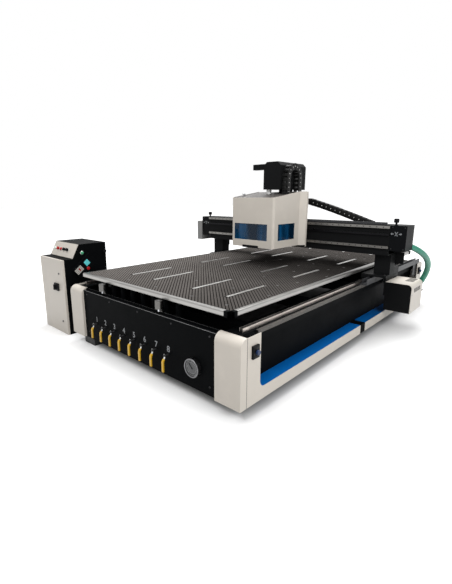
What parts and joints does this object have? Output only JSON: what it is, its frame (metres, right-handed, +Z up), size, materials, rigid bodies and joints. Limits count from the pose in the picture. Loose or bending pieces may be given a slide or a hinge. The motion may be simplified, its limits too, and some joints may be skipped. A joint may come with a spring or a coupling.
{
  "type": "cnc router",
  "caption": "Gantry CNC router with a zoned vacuum table, rack-driven moving bridge, hooded vertical spindle carriage, T-slot hold-downs and a separate control cabinet with pendant",
  "frame": {"origin": "centre of the floor rectangle covered by machine and cabinet, on the floor", "axes": "+X to the right seen from the operator end, +Y along the table away from the operator end, +Z up"},
  "size_m": [2.9848, 3.638, 1.655],
  "materials": {
    "cream": "off-white powder coat",
    "black": "black fine-texture powder coat",
    "blue": "blue powder coat",
    "silver": "clear anodised extrusion",
    "steel": "ground steel",
    "board": "dark phenolic board",
    "iron": "dark painted casting",
    "yellow": "yellow dipped vinyl",
    "dark_plastic": "black moulded plastic",
    "grey_plastic": "light grey plastic",
    "red": "red moulded plastic",
    "navy": "dark blue plastic",
    "blue_glass": "blue tinted acrylic",
    "green_hose": "green polyurethane hose",
    "needle_red": "painted pointer"
  },
  "bodies": {
    "bed": {"bed_frame": "black", "frame_posts": "black", "levelling_feet": "iron", "front_panel": "black", "bed_panels": "black", "corner_covers": "cream", "side_skirts": "cream", "skirt_ledges": "blue", "vacuum_boards": "board", "table_edges": "silver", "t_slot_tracks": "silver", "y_rails": "steel", "y_racks": "steel", "vacuum_manifold": "dark_plastic", "valve_bodies": "steel", "vacuum_gauge": "steel", "locating_cylinders": "silver", "switch_boxes": "dark_plastic", "y_chain_tray": "black", "cabinet_body": "black", "control_panel": "cream", "pendant": "dark_plastic"},
    "gantry": {"gantry_beam": "black", "beam_end_blocks": "black", "x_rails": "steel", "gantry_legs": "black", "y_carriages": "black", "motor_covers": "cream", "cover_frames": "black", "beam_tray": "grey_plastic", "air_hose": "green_hose"},
    "carriage": {"x_carriage": "black", "head_cover": "cream", "head_windows": "blue_glass", "z_housing": "black", "z_chain": "dark_plastic", "x_chain_run": "dark_plastic"},
    "z_axis": {"z_slide": "silver"},
    "rotor": {"spindle_rotor": "steel"},
    "y_drive": {"y_pinions": "steel"},
    "x_drive": {"x_pinion": "steel"},
    "x_bend": {"x_chain_bend": "dark_plastic"},
    "needle": {"gauge_needle": "needle_red"},
    "pins": {"locating_pins": "steel"},
    "button_front": {"switch_button_front": "navy"},
    "button_rear": {"switch_button_rear": "navy"},
    "door": {"cabinet_door": "cream"},
    "main_switch": {"main_switch_knob": "dark_plastic"},
    "stop": {"stop_button": "red"},
    "left_selector": {"selector_left": "dark_plastic"},
    "right_selector": {"selector_right": "dark_plastic"},
    "pendant_stop": {"pendant_stop_button": "red"},
    "valve_1": {"valve_handle_1": "yellow"},
    "valve_2": {"valve_handle_2": "yellow"},
    "valve_3": {"valve_handle_3": "yellow"},
    "valve_4": {"valve_handle_4": "yellow"},
    "valve_5": {"valve_handle_5": "yellow"},
    "valve_6": {"valve_handle_6": "yellow"},
    "valve_7": {"valve_handle_7": "yellow"},
    "valve_8": {"valve_handle_8": "yellow"}
  },
  "joints": [
    {"name": "y_slide", "type": "slide", "parent": "bed", "child": "gantry", "axis": [0, 1, 0], "range_m": [-1.42, 0.81]},
    {"name": "x_slide", "type": "slide", "parent": "gantry", "child": "carriage", "axis": [1, 0, 0], "range_m": [-0.77, 0.75], "deforming": ["x_chain_run", "x_chain_bend"]},
    {"name": "z_slide", "type": "slide", "parent": "carriage", "child": "z_axis", "axis": [0, 0, 1], "range_m": [-0.2, 0], "deforming": ["z_chain"]},
    {"name": "spindle_spin", "type": "hinge", "parent": "z_axis", "child": "rotor", "pos_m": [0.183, -0.101, 0.9], "axis": [0, 0, 1], "continuous": true},
    {"name": "y_pinion_spin", "type": "hinge", "parent": "gantry", "child": "y_drive", "pos_m": [0.192, 0.6505, 0.4777], "axis": [1, 0, 0], "continuous": true},
    {"name": "x_pinion_spin", "type": "hinge", "parent": "carriage", "child": "x_drive", "pos_m": [0.387, 0.16, 0.9457], "axis": [0, 1, 0], "continuous": true},
    {"name": "x_chain_slide", "type": "slide", "parent": "carriage", "child": "x_bend", "axis": [1, 0, 0], "range_m": [-0.376, 0.386]},
    {"name": "needle_turn", "type": "hinge", "parent": "bed", "child": "needle", "pos_m": [0.794, -1.786, 0.245], "axis": [0, 1, 0], "range_deg": [-90, 180]},
    {"name": "pins_lift", "type": "slide", "parent": "bed", "child": "pins", "axis": [0, 0, 1], "range_m": [0, 0.044]},
    {"name": "switch_front_press", "type": "slide", "parent": "bed", "child": "button_front", "axis": [-1, 0, 0], "range_m": [0, 0.005], "stiffness_N_per_m": 400},
    {"name": "switch_rear_press", "type": "slide", "parent": "bed", "child": "button_rear", "axis": [-1, 0, 0], "range_m": [0, 0.005], "stiffness_N_per_m": 400},
    {"name": "door_hinge", "type": "hinge", "parent": "bed", "child": "door", "pos_m": [-1.454, -1.759, 0.37], "axis": [0, 0, -1], "range_deg": [0, 110]},
    {"name": "main_switch_turn", "type": "hinge", "parent": "door", "child": "main_switch", "pos_m": [-1.125, -1.766, 0.465], "axis": [0, 1, 0], "range_deg": [0, 90]},
    {"name": "stop_press", "type": "slide", "parent": "bed", "child": "stop", "axis": [0, 0.8796, -0.4757], "range_m": [0, 0.003], "stiffness_N_per_m": 500},
    {"name": "selector_left_turn", "type": "hinge", "parent": "bed", "child": "left_selector", "pos_m": [-1.197, -1.6155, 0.8055], "axis": [0, -0.8796, 0.4757], "range_deg": [-45, 45]},
    {"name": "selector_right_turn", "type": "hinge", "parent": "bed", "child": "right_selector", "pos_m": [-1.131, -1.6155, 0.8055], "axis": [0, -0.8796, 0.4757], "range_deg": [-45, 45]},
    {"name": "pendant_stop_press", "type": "slide", "parent": "bed", "child": "pendant_stop", "axis": [-1, 0, 0], "range_m": [0, 0.003], "stiffness_N_per_m": 400},
    {"name": "valve_1_turn", "type": "hinge", "parent": "bed", "child": "valve_1", "pos_m": [-0.407, -1.801, 0.255], "axis": [0, 1, 0], "range_deg": [0, 90]},
    {"name": "valve_2_turn", "type": "hinge", "parent": "bed", "child": "valve_2", "pos_m": [-0.2725, -1.801, 0.255], "axis": [0, 1, 0], "range_deg": [0, 90]},
    {"name": "valve_3_turn", "type": "hinge", "parent": "bed", "child": "valve_3", "pos_m": [-0.138, -1.801, 0.255], "axis": [0, 1, 0], "range_deg": [0, 90]},
    {"name": "valve_4_turn", "type": "hinge", "parent": "bed", "child": "valve_4", "pos_m": [-0.0035, -1.801, 0.255], "axis": [0, 1, 0], "range_deg": [0, 90]},
    {"name": "valve_5_turn", "type": "hinge", "parent": "bed", "child": "valve_5", "pos_m": [0.131, -1.801, 0.255], "axis": [0, 1, 0], "range_deg": [0, 90]},
    {"name": "valve_6_turn", "type": "hinge", "parent": "bed", "child": "valve_6", "pos_m": [0.2655, -1.801, 0.255], "axis": [0, 1, 0], "range_deg": [0, 90]},
    {"name": "valve_7_turn", "type": "hinge", "parent": "bed", "child": "valve_7", "pos_m": [0.4, -1.801, 0.255], "axis": [0, 1, 0], "range_deg": [0, 90]},
    {"name": "valve_8_turn", "type": "hinge", "parent": "bed", "child": "valve_8", "pos_m": [0.5345, -1.801, 0.255], "axis": [0, 1, 0], "range_deg": [0, 90]}
  ],
  "couplings": [
    {"joint": "y_pinion_spin", "follows": "y_slide", "rad_per_m": 31.25},
    {"joint": "x_pinion_spin", "follows": "x_slide", "rad_per_m": -31.25},
    {"joint": "x_chain_slide", "follows": "x_slide", "ratio": -0.5}
  ]
}
